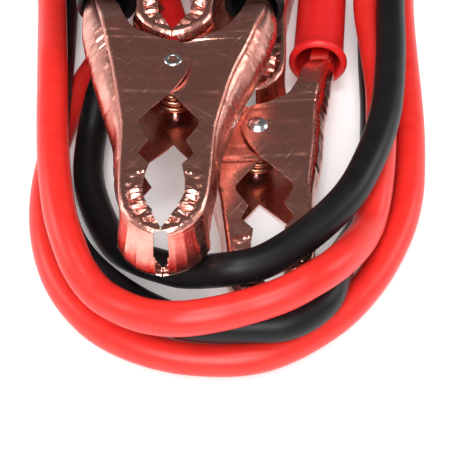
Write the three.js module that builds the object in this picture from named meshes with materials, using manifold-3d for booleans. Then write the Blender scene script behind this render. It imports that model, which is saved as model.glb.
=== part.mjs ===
// Car jumper cable, wound into a hank: a red and a black cable, four copper-plated
// spring clamps with plastic grips, and two straps. Millimetres, +Z up.
// The floor is z = 0, the clamp jaws point to -Y.
import * as THREE from 'three';
import Module from 'manifold-3d';
import { mergeVertices } from 'three/addons/utils/BufferGeometryUtils.js';

const wasm = await Module();
wasm.setup();

// Fits
const gap = 0.3;            // running and seating clearance
const floorLift = 0.05;     // what lies on the floor lies this far above z = 0
const seat = 0.1;           // under the rivet's two ends
const stackGap = 2.1;       // from the lower front clamp to the upper, which lies on a cable

// Clamp sheet
const sheet = 1.0;
const clampHeight = 17.6;   // over both side plates, at the rivet
const tipSlope = 0.0036;    // the plates close towards the tip, share per mm
const neckStart = 14;       // where the plates step in towards the handle
const neckEnd = 28;
const handleHeight = 9.0;
const handleWidth = 5.0;
const handleShort = 6;      // the handle stops this far short of the grip's taper
const slotWidth = 3.0;      // slot in the front wall of the tip
const slotFoot = 2.6;
const slotTop = 1.2;        // below the top face
const slotDepth = 1.2;      // into the tip, from its front

// Outline of one half, left of the middle, seen from above. X is half width.
const spineEdge = [[0.15, -52.2], [2.4, -51.9], [4.6, -50.9], [6.9, -48.9], [8.7, -46],
  [9.7, -42.4], [10.3, -34], [10.6, -23], [11.0, -19.4], [14.7, -0.4], [17.9, 12.4]];
const jawEdge = [[0.15, -50.2], [1.7, -47.4], [3.5, -44.2], [4.7, -40.6], [4.6, -37.3],
  [3.7, -32.9], [6.4, -29.5], [4.3, -25.8], [6.9, -20.9], [6.9, -19.3], [0.15, -11.3]];
const notchEdge = [[-0.5, 6.9], [3.2, 7.6], [9.4, 10.6], [11.4, 12.9]];
const lugEdge = [[-0.4, -10.6], [-2.6, -6.4], [-3.8, -3.1], [-4.2, 0], [-3.7, 3], [-2.4, 5.4]];

// Part of the outline that the lug takes, of which the other half stays clear
const lugSpan = [-16, 12];
const lugDepth = 14;

// Handle and grip, along one straight axis
const gripStart = [19.3, 31];
const gripSlope = 0.162;
const gripLength = 52;
const handleOffset = 0.5;   // the handle lies this far outside the grip's axis
const mouthRadius = 7.3;
const gripRadius = 6.9;
const gripWall = 1.0;
const gripEndRadius = 5.5;
const gripEndLength = 11;
const mouthLength = 5;
const gripShoulder = 4;
const handleEnd = gripStart[1] + gripLength - gripEndLength - handleShort;

// Rivet and spring
const rivetRadius = 1.7;
const domeRadius = 2.85;
const domeHeight = 1.4;
const rolledRadius = 2.25;
const rolledHeight = 0.65;
const rolledHollow = 1.2;
const rolledDepth = 2;
const lugClear = 7.4;       // radius kept free for the outer lug as the jaws open
const joggleWidth = 2.2;
const wireRadius = 0.85;
const coilRadius = 4.4;
const coilTurns = 4;
const coilPitch = 2.2;
const legEnd = 14.76;       // where the leg of the cable half ends, along the clamp
const legGap = 0.21;        // that leg's bearing on its wall
const legBend = 6.6;
const freeLegShort = 3.2;   // the other leg is shorter by the free half's travel

// Cutting bodies run on past the part: along it, and above and below it
const cutReach = 90;
const cutOver = 5;

// Cable
const cableDiameter = 8;
const cableSides = 8;
const cableInGrip = 8;

// Strap
const strapWidth = 16;
const strapThick = 1.2;

// How far a rivet's two ends stand out of the clamp's faces
const domeReach = seat + domeHeight;
const rolledReach = seat + rolledHeight;

// Clamp places: rivet centre, height of the lower face, turn about Z, and
// whether the clamp lies upside down. The lower two rest on their rivets
const footB = floorLift + rolledReach;
const footD = floorLift + domeReach;
const clampPlaces = {
  a: {
    at: [-14.5, -47.5], foot: footB + clampHeight + stackGap, turn: -1.5,
    over: false, grip: 'black',
  },
  b: { at: [6.2, -49.8], foot: footB, turn: 3.7, over: true, grip: 'red' },
  c: {
    at: [-13.2, 18.2], foot: footD + clampHeight + rolledReach + gap, turn: -2.2,
    over: true, grip: 'black',
  },
  d: { at: [3.2, 16.6], foot: footD, turn: 1.4, over: false, grip: 'red' },
};

// Cable routes, from clamp to clamp, centre line
const blackRoute = [
  [-44.2, 46, 25.6], [-48.5, 56, 21.7], [-53.4, 69, 16.2], [-54.8, 87, 13.6], [-55, 131, 12.7],
  [-48, 156, 12.7], [-32, 173, 12.4], [-13, 180, 9.8], [7, 179.5, 5], [26, 171.5, 4],
  [41, 155.5, 4], [48.5, 135, 4], [49, 89, 5.8], [46.4, 58, 4.2], [42.8, 30, 4], [39.8, -5, 4],
  [38.6, -32, 4], [35.6, -58.6, 4], [33.3, -69, 4], [29.4, -77, 4.8], [26.1, -84.5, 8.1],
  [23.6, -92.3, 10.9], [21.3, -98.9, 12.3], [17.2, -103.7, 12.8], [11, -107, 13],
  [2.8, -107.1, 12.5], [-5.2, -106.9, 12.3], [-11.7, -105.6, 11.8], [-18.6, -101.1, 9.8],
  [-24.7, -95.7, 7.8], [-30.5, -90.6, 7.4], [-35.1, -86.8, 9.2], [-38.9, -81.8, 10.9],
  [-42, -73.4, 11.4], [-44.4, -62.5, 12.1], [-46.2, -45.4, 12.4], [-46.8, -30.1, 12],
  [-47.5, -15.7, 8.9], [-49.3, 14.6, 4], [-50, 43, 4], [-50, 89, 5.6], [-51.5, 141, 4],
  [-45, 165, 4], [-29, 182, 4], [-8, 190, 4], [14, 188, 4], [37, 178, 4], [53, 161, 4],
  [59, 140, 6.4], [56.8, 121, 10.4], [53.5, 89, 13.8], [50.9, 53, 16.7], [43.7, -3.9, 19.3],
  [41.5, -27.5, 20.4], [38.1, -48.7, 21.1], [32.6, -65.1, 21.4], [26.2, -77.4, 21.5],
  [15.2, -89.5, 21.5], [5.9, -96.2, 21.5], [0.5, -97.6, 21.4], [-3.1, -97.3, 20.3],
  [-5.9, -96.1, 18.4], [-8.6, -95.4, 17.3], [-12.3, -94.3, 16.1], [-17.1, -91.1, 13.9],
  [-22.2, -86.7, 10.8], [-27.2, -81, 7.6], [-31, -73.9, 5.2], [-35.3, -62.7, 4],
  [-37.4, -53.4, 4], [-37.4, -40, 5], [-35.7, -31.3, 9.5], [-34.2, -26.2, 12],
  [-33.2, -19.7, 14], [-36.5, -1, 14.5], [-40.5, 23, 13], [-44.5, 53, 12.8], [-45.5, 89, 13.6],
  [-45.4, 102, 14.4], [-43, 123, 23.5], [-35, 140, 27.4], [-19, 150, 28], [-3, 147, 28.2],
  [8, 135, 28.6], [13, 121, 28.8],
];
const redRoute = [
  [32.6, 44, 7], [36, 55, 4.8], [40, 78, 5.5], [40.2, 89, 5.7], [40, 113, 4.2], [38.5, 136, 4],
  [29, 155, 4], [12, 168, 4], [-6, 170, 4], [-24, 163, 4], [-36, 148, 4], [-41, 129, 4.2],
  [-41.2, 89, 5.6], [-40, 28, 4], [-36.6, 5, 4], [-36, -6.9, 4], [-38.3, -12.8, 4],
  [-41.4, -21, 4], [-44.6, -31.1, 4], [-46.7, -40.8, 4], [-47.4, -49.9, 4], [-47.8, -58.6, 4],
  [-47.2, -68.5, 4], [-44.8, -80.1, 4], [-40.2, -90.9, 4], [-31.7, -101.2, 4],
  [-20.4, -107.6, 4], [-7.6, -110.4, 4], [7.1, -109.2, 4], [23.1, -99.5, 4], [33.4, -87.4, 4],
  [40.8, -73.2, 4], [44.5, -61.2, 4], [46.3, -49.5, 4], [47.7, -33.9, 4], [49.7, 14.1, 4],
  [52.8, 38, 4], [58.4, 89, 5.7], [59, 100, 5.4], [64, 117, 4.2], [68, 141, 4], [61, 169, 4],
  [42, 190, 4], [16, 200, 4], [-12, 201, 4], [-38, 192, 4], [-55, 173, 4], [-61, 145, 4],
  [-59, 89, 5.6], [-58.4, 61, 7.4], [-55, 33, 11.6], [-50.9, 3, 13.6], [-49.2, -11.8, 16.4],
  [-47.4, -26.9, 19.8], [-46.2, -38.6, 20.8], [-44.9, -52.9, 20.8], [-43.5, -65.1, 20.4],
  [-42.2, -72.9, 20], [-40.7, -80.2, 19.4], [-38.5, -87.1, 18.6], [-35.4, -94.3, 17],
  [-31.1, -100, 15.8], [-26.3, -103.9, 16], [-19.5, -108.2, 17.8], [-11.8, -110.4, 19.8],
  [-4.2, -109.7, 20.5], [4.2, -107.3, 20.7], [11.2, -105, 21.6], [17.1, -101.5, 22],
  [22.8, -96.1, 20.6], [28.3, -87.4, 16.7], [32.4, -77.7, 12.4], [34.8, -69.2, 12.2],
  [37.6, -52.3, 12.2], [39.3, -30.3, 12.2], [39, -14.4, 12.2], [38.5, 4.7, 12.2],
  [40.5, 18, 12.2], [44.8, 89, 13.6], [44.2, 111, 13.6], [38, 129, 13.2], [24, 141, 12.8],
  [6, 144, 12.2], [-12, 137, 10.8], [-22.5, 123, 9.6],
];

const paint = {
  copper: { color: 0xb06a4a, roughness: 0.3, metalness: 1 },
  zinc: { color: 0xc9d3d6, roughness: 0.25, metalness: 1 },
  spring: { color: 0xb8673f, roughness: 0.35, metalness: 1 },
  red: { color: 0xd8241c, roughness: 0.4, metalness: 0 },
  black: { color: 0x151515, roughness: 0.45, metalness: 0 },
  strap: { color: 0x1b1b1c, roughness: 0.9, metalness: 0 },
};

// Where the straps lie: inside left, right and top, and their middle along Y
const strapPlaces = {
  left: { from: -63.6, to: -36.7, top: 18.5, y: 89 },
  right: { from: 35.6, to: 63.4, top: 18.5, y: 89 },
};

// Solids and geometry

function toSolid(geometry) {
  const bare = new THREE.BufferGeometry();
  bare.setAttribute('position', geometry.getAttribute('position'));
  if (geometry.index) bare.setIndex(geometry.index);
  const merged = mergeVertices(bare, 1e-4);
  return new wasm.Manifold(new wasm.Mesh({
    numProp: 3,
    vertProperties: new Float32Array(merged.getAttribute('position').array),
    triVerts: new Uint32Array(merged.index.array),
  }));
}

function toGeometry(solid) {
  const mesh = solid.getMesh();
  const geometry = new THREE.BufferGeometry();
  geometry.setAttribute('position', new THREE.BufferAttribute(mesh.vertProperties, 3));
  geometry.setIndex(new THREE.BufferAttribute(mesh.triVerts, 1));
  geometry.computeVertexNormals();
  return geometry;
}

function plate(points, low, high) {
  const shape = new THREE.Shape(points.map(([x, y]) => new THREE.Vector2(x, y)));
  const geometry = new THREE.ExtrudeGeometry(shape, { depth: high - low, bevelEnabled: false });
  return toSolid(geometry.translate(0, 0, low));
}

function block(x0, x1, y0, y1, z0, z1) {
  const geometry = new THREE.BoxGeometry(x1 - x0, y1 - y0, z1 - z0);
  return toSolid(geometry.translate((x0 + x1) / 2, (y0 + y1) / 2, (z0 + z1) / 2));
}

function rod(radius, low, high, sides = 16) {
  const geometry = new THREE.CylinderGeometry(radius, radius, high - low, sides);
  geometry.rotateX(Math.PI / 2);
  return toSolid(geometry.translate(0, 0, (low + high) / 2));
}

// A body turned about Z: profile points are [radius, height], from axis to axis
function turned(profile, sides) {
  const points = profile.map(([r, h]) => new THREE.Vector2(r, h));
  const geometry = new THREE.LatheGeometry(points, sides);
  geometry.rotateX(Math.PI / 2);
  return toSolid(geometry);
}

// A route that is swept from one of its points to the next, square to the curve there
class Route extends THREE.CatmullRomCurve3 {
  getSpacedPoints(steps) {
    return this.getPoints(steps);
  }

  getTangentAt(share, target) {
    return this.getTangent(share, target);
  }
}

function sweep(points, radius, sides, steps) {
  const route = new Route(points.map((p) => new THREE.Vector3(...p)), false, 'centripetal');
  const ring = new THREE.Shape();
  for (let i = 0; i < sides; i += 1) {
    const a = (2 * Math.PI * i) / sides;
    ring[i ? 'lineTo' : 'moveTo'](radius * Math.cos(a), radius * Math.sin(a));
  }
  ring.closePath();
  const geometry = new THREE.ExtrudeGeometry(ring, { steps, extrudePath: route });
  return toSolid(geometry);
}

// Clamp half

const middle = clampHeight / 2;
const handleShare = handleHeight / clampHeight;

// Share of the full height at a place along the clamp
function heightShare(y) {
  const neck = 1 + tipSlope * neckStart;
  if (y <= neckStart) return 1 + tipSlope * y;
  if (y >= neckEnd) return handleShare;
  return neck + ((handleShare - neck) * (y - neckStart)) / (neckEnd - neckStart);
}

// Closes the plates towards tip and handle, one straight stretch at a time
function taper(solid) {
  const lap = 0.005;
  const stretches = [
    [-cutReach, neckStart + lap], [neckStart, neckEnd + lap], [neckEnd, cutReach],
  ];
  const pieces = stretches.map(([y0, y1]) => {
    const span = block(-cutReach, cutReach, y0, y1, -cutOver, clampHeight + cutOver);
    const piece = solid.intersect(span);
    const geometry = toGeometry(piece);
    const position = geometry.getAttribute('position');
    for (let i = 0; i < position.count; i += 1) {
      const z = middle + (position.getZ(i) - middle) * heightShare(position.getY(i));
      position.setZ(i, z);
    }
    return toSolid(geometry);
  });
  return pieces.reduce((whole, piece) => whole.add(piece));
}

function gripAxis(y) {
  return gripStart[0] + gripSlope * (y - gripStart[1]);
}

function handleEdges(side) {
  const shift = handleOffset + side * handleWidth / 2;
  return [neckEnd, handleEnd].map((y) => [gripAxis(y) + shift, y]);
}

// The left half's outline; sign -1 puts it left of the middle, +1 right of it
function outline(sign, withLug) {
  const points = [
    ...spineEdge,
    ...handleEdges(1),
    ...handleEdges(-1).reverse(),
    ...[...notchEdge].reverse(),
    ...(withLug ? [...lugEdge].reverse() : []),
    ...[...jawEdge].reverse(),
  ].map(([x, y]) => [sign * x, y]);
  return sign > 0 ? points : points.reverse();
}

// The outer edge, moved in by one sheet
function innerSpine() {
  const edge = [...spineEdge, ...handleEdges(1)];
  edge[edge.length - 1][1] += sheet;
  return edge.map(([x, y], i) => {
    const before = edge[Math.max(0, i - 1)];
    const after = edge[Math.min(edge.length - 1, i + 1)];
    const dx = after[0] - before[0];
    const dy = after[1] - before[1];
    const length = Math.hypot(dx, dy);
    return [x - (sheet * dy) / length, y + (sheet * dx) / length];
  });
}

function channelSpace(sign) {
  const edge = innerSpine();
  edge[0] = [-cutReach, spineEdge[0][1] + sheet];
  const points = [...edge, [-cutReach, handleEnd + sheet]].map(([x, y]) => [sign * x, y]);
  return plate(sign > 0 ? points : points.reverse(), sheet, clampHeight - sheet);
}

function slot() {
  const [half, depth] = [slotWidth / 2, spineEdge[0][1] + slotDepth];
  return block(-half, half, -cutReach, depth, slotFoot, clampHeight - slotTop);
}

function rivetHole() {
  return rod(rivetRadius + gap, -cutOver, clampHeight + cutOver, 14);
}

// The half whose lugs lie outside; it holds the cable
function outerHalf() {
  const body = plate(outline(-1, true), 0, clampHeight);
  return taper(body.subtract(channelSpace(-1)).subtract(slot()).subtract(rivetHole()));
}

// The half whose lugs are stepped in by one sheet, under those of the other half
function innerHalf() {
  const step = sheet + gap;
  const room = outline(-1, true).filter(([x, y]) => (
    x > -lugDepth && y > lugSpan[0] && y < lugSpan[1]
  ));
  const grown = room.map(([x, y]) => [
    x + (x > -sheet ? gap * 1.2 : 0), y - (y < -rivetRadius * 3 ? gap : 0),
  ]);
  const [under, above] = [-cutOver, clampHeight + cutOver];
  const free = rod(lugClear, under, above, 24).add(plate(grown, under, above));
  const shell = plate(outline(1, false), 0, clampHeight).subtract(channelSpace(1));
  const core = shell.subtract(slot()).subtract(free);
  const reach = rod(lugClear + joggleWidth, under, above, 24);
  const lugs = plate(outline(1, true), step, clampHeight - step)
    .subtract(plate(outline(1, true), step + sheet, clampHeight - step - sheet));
  const ring = plate(outline(1, false), sheet / 2, clampHeight - sheet / 2)
    .subtract(plate(outline(1, false), step + sheet, clampHeight - step - sheet))
    .subtract(free);
  const inside = lugs.add(ring).intersect(reach);
  return taper(core.add(inside).subtract(rivetHole()));
}

// Grip, rivet, spring

// Profile along the grip's axis, from the mouth; bore is what the sleeve leaves free
function gripSolid(withCable) {
  const bore = gripRadius - gripWall;
  const neck = gripLength - gripEndLength;
  const boreEnd = neck - gripShoulder;
  const profile = [
    [bore + 0.4, 0], [mouthRadius - 0.4, 0], [mouthRadius, 1], [mouthRadius - 0.2, 2.4],
    [gripRadius, mouthLength], [gripRadius, neck], [gripEndRadius, neck + gripShoulder],
    [gripEndRadius, gripLength],
  ];
  if (withCable) {
    const cableBore = cableDiameter / 2 + gap;
    profile.push([cableBore, gripLength], [cableBore, boreEnd], [bore, boreEnd - 1]);
  } else {
    profile.push([0, gripLength], [0, boreEnd], [bore, boreEnd - 1]);
  }
  const first = profile[0];
  const points = [...profile, first].map(([r, h]) => new THREE.Vector2(r, h));
  const geometry = new THREE.LatheGeometry(points, 14);
  return toSolid(geometry);
}

function placeGrip(solid, sign) {
  const geometry = toGeometry(solid);
  geometry.rotateZ(-sign * Math.atan(gripSlope));
  return geometry.translate(sign * gripStart[0], gripStart[1], middle);
}

function rivet() {
  const high = clampHeight + seat;
  const rim = high + rolledHeight;
  return turned([
    [0, -seat - domeHeight], [domeRadius * 0.5, -seat - domeHeight * 0.9],
    [domeRadius * 0.86, -seat - domeHeight * 0.55], [domeRadius, -seat],
    [rivetRadius, -seat], [rivetRadius, high], [rolledRadius, high], [rolledRadius, rim],
    [rolledHollow, rim], [rolledHollow, rim - rolledDepth], [0, rim - rolledDepth],
  ], 10);
}

// Inside of the side wall, half width at a place along the clamp
function wallInside(y) {
  const edge = innerSpine();
  const after = edge.findIndex((point) => point[1] > y);
  const [[x0, y0], [x1, y1]] = [edge[after - 1], edge[after]];
  return x0 + ((x1 - x0) * (y - y0)) / (y1 - y0);
}

function spring() {
  const stepsPerTurn = 8;
  const legStart = 0.62;    // where the first leg meets the coil, share of pi
  const low = middle - (coilTurns * coilPitch) / 2;
  const high = low + coilTurns * coilPitch;
  const reach = wallInside(legEnd) - wireRadius - legGap;
  const freeReach = reach - freeLegShort;
  const points = [[-reach, legEnd, low], [-reach / 2, legBend, low]];
  const turns = coilTurns + legStart - 0.5;
  const count = Math.round(turns * stepsPerTurn);
  for (let i = 0; i <= count; i += 1) {
    const a = Math.PI * legStart - (2 * Math.PI * turns * i) / count;
    const z = low + ((high - low) * i) / count;
    points.push([coilRadius * Math.cos(a), coilRadius * Math.sin(a), z]);
  }
  points.push([freeReach / 2, legBend, high]);
  points.push([freeReach, (legEnd * freeReach) / reach, high]);
  return sweep(points, wireRadius, 5, points.length - 1);
}

// Scene graph

const scene = new THREE.Group();
scene.name = 'jumper_cable';

function addMesh(parent, name, geometry, look) {
  const mesh = new THREE.Mesh(geometry, new THREE.MeshStandardMaterial(look));
  mesh.name = name;
  parent.add(mesh);
}

const shapes = {
  outer: toGeometry(outerHalf()),
  inner: toGeometry(innerHalf()),
  cableGrip: gripSolid(true),
  plainGrip: gripSolid(false),
  rivet: toGeometry(rivet()),
  spring: toGeometry(spring()),
};

const clampGroups = {};
for (const [key, place] of Object.entries(clampPlaces)) {
  const group = new THREE.Group();
  group.name = `clamp_${key}`;
  group.position.set(place.at[0], place.at[1], place.foot + (place.over ? clampHeight : 0));
  group.rotation.order = 'ZYX';
  group.rotation.set(0, place.over ? Math.PI : 0, (place.turn * Math.PI) / 180);
  addMesh(group, `clamp_${key}_cable_jaw`, shapes.outer, paint.copper);
  addMesh(group, `clamp_${key}_free_jaw`, shapes.inner, paint.copper);
  addMesh(group, `clamp_${key}_cable_grip`, placeGrip(shapes.cableGrip, -1), paint[place.grip]);
  addMesh(group, `clamp_${key}_free_grip`, placeGrip(shapes.plainGrip, 1), paint[place.grip]);
  addMesh(group, `clamp_${key}_rivet`, shapes.rivet, paint.zinc);
  addMesh(group, `clamp_${key}_spring`, shapes.spring, paint.spring);
  scene.add(group);
  group.updateMatrixWorld(true);
  clampGroups[key] = group;
}

// Where a cable leaves its clamp: from inside the grip, through its end, and on
function cableEnd(key) {
  const axis = new THREE.Vector3(-gripSlope, 1, 0).normalize();
  const mouth = new THREE.Vector3(-gripStart[0], gripStart[1], middle);
  return [gripLength - cableInGrip, gripLength + 1].map((reach) => {
    const point = mouth.clone().addScaledVector(axis, reach);
    return point.applyMatrix4(clampGroups[key].matrixWorld).toArray();
  });
}

function cable(start, route, end) {
  const points = [...cableEnd(start), ...route, ...cableEnd(end).reverse()];
  return toGeometry(sweep(points, cableDiameter / 2, cableSides, points.length - 1));
}

addMesh(scene, 'cable_black', cable('a', blackRoute, 'c'), paint.black);
addMesh(scene, 'cable_red', cable('b', redRoute, 'd'), paint.red);

// A strap round one side of the hank: inner size from the cables it holds
function strap({ from, to, top, y }) {
  const corner = cableDiameter / 2;
  const ringShape = (grow) => {
    const shape = new THREE.Shape();
    const [l, r, b, t] = [from - grow, to + grow, floorLift + strapThick - grow, top + grow];
    const c = corner + grow;
    shape.moveTo(l + c, b).lineTo(r - c, b).quadraticCurveTo(r, b, r, b + c).lineTo(r, t - c);
    shape.quadraticCurveTo(r, t, r - c, t).lineTo(l + c, t).quadraticCurveTo(l, t, l, t - c);
    shape.lineTo(l, b + c).quadraticCurveTo(l, b, l + c, b);
    return shape;
  };
  const settings = { depth: strapWidth, bevelEnabled: false, curveSegments: 3 };
  const outer = toSolid(new THREE.ExtrudeGeometry(ringShape(strapThick), settings));
  const long = { ...settings, depth: strapWidth + 2 };
  const hole = toSolid(new THREE.ExtrudeGeometry(ringShape(0), long).translate(0, 0, -1));
  const geometry = toGeometry(outer.subtract(hole));
  geometry.rotateX(Math.PI / 2);
  return geometry.translate(0, y + strapWidth / 2, 0);
}

addMesh(scene, 'strap_left', strap(strapPlaces.left), paint.strap);
addMesh(scene, 'strap_right', strap(strapPlaces.right), paint.strap);

export default scene;
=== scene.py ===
import bpy
import math
from mathutils import Matrix, Vector, noise


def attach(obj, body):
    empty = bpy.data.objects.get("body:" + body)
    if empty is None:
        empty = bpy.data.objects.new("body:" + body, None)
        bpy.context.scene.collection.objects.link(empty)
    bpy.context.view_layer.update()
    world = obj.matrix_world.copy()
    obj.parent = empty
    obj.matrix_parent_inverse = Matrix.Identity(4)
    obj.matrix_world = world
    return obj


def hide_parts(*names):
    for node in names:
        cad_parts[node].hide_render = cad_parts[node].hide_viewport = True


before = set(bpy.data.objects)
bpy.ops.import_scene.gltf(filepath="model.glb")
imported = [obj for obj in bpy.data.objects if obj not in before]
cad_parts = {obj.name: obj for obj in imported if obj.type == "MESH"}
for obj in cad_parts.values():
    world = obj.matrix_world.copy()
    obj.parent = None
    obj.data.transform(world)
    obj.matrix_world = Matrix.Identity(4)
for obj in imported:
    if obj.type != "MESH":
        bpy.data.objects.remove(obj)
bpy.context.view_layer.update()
mm = 0.001
print("frame loaded:", len(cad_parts), "CAD nodes")

# Camera, at the photo's viewing angle
viewpoint = {"place": (-0.002, -0.26335, 0.234), "target": (-0.002, -0.067, 0.0), "lens": 96.0}
cameraData = bpy.data.cameras.new("photoCamera")
cameraData.lens = viewpoint["lens"]
cameraData.sensor_width = 36.0
cameraData.clip_end = 10.0
camera = bpy.data.objects.new("photoCamera", cameraData)
camera.location = viewpoint["place"]
aim = Vector(viewpoint["target"]) - Vector(viewpoint["place"])
camera.rotation_euler = aim.to_track_quat("-Z", "Y").to_euler()
bpy.context.scene.collection.objects.link(camera)
bpy.context.scene.camera = camera
print("camera set")

# Where each clamp lies: rivet centre, underside, turn, upside down or not
clampPlaces = {
    "a": {"at": (-14.5, -47.5), "foot": 20.5, "turn": -1.5, "over": False, "grip": "black"},
    "b": {"at": (6.2, -49.8), "foot": 0.8, "turn": 3.7, "over": True, "grip": "red"},
    "c": {"at": (-13.2, 18.2), "foot": 20.2, "turn": -2.2, "over": True, "grip": "black"},
    "d": {"at": (3.2, 16.6), "foot": 1.55, "turn": 1.4, "over": False, "grip": "red"},
}
clampHeight = 17.6


def clampMatrix(key):
    place = clampPlaces[key]
    lift = place["foot"] + (clampHeight if place["over"] else 0)
    shift = Matrix.Translation((place["at"][0], place["at"][1], lift))
    turn = Matrix.Rotation(math.radians(place["turn"]), 4, "Z")
    flip = Matrix.Rotation(math.pi if place["over"] else 0, 4, "Y")
    return shift @ turn @ flip


# Small helpers
def deselectAll():
    if bpy.context.object and bpy.context.object.mode != "OBJECT":
        bpy.ops.object.mode_set(mode="OBJECT")
    bpy.ops.object.select_all(action="DESELECT")


def activate(piece):
    deselectAll()
    piece.select_set(True)
    bpy.context.view_layer.objects.active = piece


def addModifier(piece, kind, **settings):
    activate(piece)
    modifier = piece.modifiers.new(kind.title(), kind)
    for key, value in settings.items():
        setattr(modifier, key, value)
    bpy.ops.object.modifier_apply(modifier=modifier.name)


def smoothShade(piece, degrees):
    activate(piece)
    bpy.ops.object.shade_smooth_by_angle(angle=math.radians(degrees))


def bakePlace(piece):
    activate(piece)
    bpy.ops.object.transform_apply(location=True, rotation=True, scale=True)


def ease(start, end, value):
    t = min(1.0, max(0.0, (value - start) / (end - start)))
    return t * t * (3 - 2 * t)


def curveAt(table, value):
    # straight between the rows of a table of (place, value)
    if value <= table[0][0]:
        return table[0][1]
    for (x0, y0), (x1, y1) in zip(table, table[1:]):
        if value <= x1:
            return y0 + (y1 - y0) * (value - x0) / (x1 - x0)
    return table[-1][1]


# Materials
def newMaterial(name, **sockets):
    material = bpy.data.materials.new(name)
    material.use_nodes = True
    shader = material.node_tree.nodes["Principled BSDF"]
    for key, value in sockets.items():
        shader.inputs[key.replace("_", " ")].default_value = value
    return material, material.node_tree, shader


def addNode(tree, kind, inputs=None, **settings):
    node = tree.nodes.new(kind)
    for key, value in settings.items():
        setattr(node, key, value)
    for key, value in (inputs or {}).items():
        node.inputs[key].default_value = value
    return node


def objectPlace(tree):
    return addNode(tree, "ShaderNodeTexCoord").outputs["Object"]


def ramp(tree, source, stops):
    node = addNode(tree, "ShaderNodeValToRGB")
    elements = node.color_ramp.elements
    while len(elements) < len(stops):
        elements.new(0.5)
    for element, (position, color) in zip(elements, stops):
        element.position = position
        element.color = (*color, 1)
    tree.links.new(source, node.inputs["Fac"])
    return node.outputs["Color"]


# Marks on the sheet: noise scales, or sizes in metres (along, across, through) and a turn
wearMarks = {
    "speckle": 2600, "cloud": 160,
    "hairs": (((0.011, 0.0004, 0.0009), 0.9), ((0.009, 0.00035, 0.0008), -0.6)),
    "dash": ((0.0024, 0.0005, 0.0011), -0.17),
}


def buildWearGroup():
    # fine speckle, hair scratches both ways, short rub dashes and soft clouds
    group = bpy.data.node_groups.new("sheetWear", "ShaderNodeTree")
    for name, kind, way in (
        ("Vector", "NodeSocketVector", "INPUT"),
        ("Speckle", "NodeSocketFloat", "OUTPUT"),
        ("Scratch", "NodeSocketFloat", "OUTPUT"),
        ("Rub", "NodeSocketFloat", "OUTPUT"),
        ("Cloud", "NodeSocketFloat", "OUTPUT"),
    ):
        group.interface.new_socket(name, in_out=way, socket_type=kind)
    inlet = addNode(group, "NodeGroupInput")
    outlet = addNode(group, "NodeGroupOutput")

    def stretched(size, turn):
        node = addNode(group, "ShaderNodeMapping", {"Scale": size, "Rotation": (0, 0, turn)},
                       vector_type="TEXTURE")
        group.links.new(inlet.outputs["Vector"], node.inputs["Vector"])
        return node.outputs["Vector"]

    def clipped(source, low, high):
        node = addNode(group, "ShaderNodeMapRange", {"From Min": low, "From Max": high})
        group.links.new(source, node.inputs["Value"])
        return node.outputs["Result"]

    def pattern(vector, scale, detail, rough=0.5):
        node = addNode(group, "ShaderNodeTexNoise",
                       {"Scale": scale, "Detail": detail, "Roughness": rough})
        group.links.new(vector, node.inputs["Vector"])
        return node.outputs["Fac"]

    speckle = pattern(stretched((1, 1, 1), 0), wearMarks["speckle"], 3, 0.6)
    group.links.new(clipped(speckle, 0.5, 0.68), outlet.inputs["Speckle"])
    hairs = addNode(group, "ShaderNodeMath", operation="MAXIMUM")
    for k, (size, turn) in enumerate(wearMarks["hairs"]):
        hair = pattern(stretched(size, turn), 1, 3, 0.6)
        group.links.new(clipped(hair, 0.64, 0.74), hairs.inputs[k])
    group.links.new(hairs.outputs[0], outlet.inputs["Scratch"])
    rub = pattern(stretched(*wearMarks["dash"]), 1, 1.5, 0.4)
    group.links.new(clipped(rub, 0.73, 0.78), outlet.inputs["Rub"])
    cloud = pattern(stretched((1, 1, 1), 0), wearMarks["cloud"], 3, 0.55)
    group.links.new(clipped(cloud, 0.3, 0.7), outlet.inputs["Cloud"])
    return group


wearGroup = buildWearGroup()

copperLook = {
    "clean": (0.86, 0.42, 0.34), "tarnished": (0.66, 0.27, 0.215), "rubbed": (0.90, 0.58, 0.46),
    "smooth": 0.17, "dull": 0.33, "scratched": 0.5,
    "speckle": 0.34, "scratch": 0.30, "dent": 0.45, "bump": 0.3, "bumpDepth": 0.00009,
}


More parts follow.
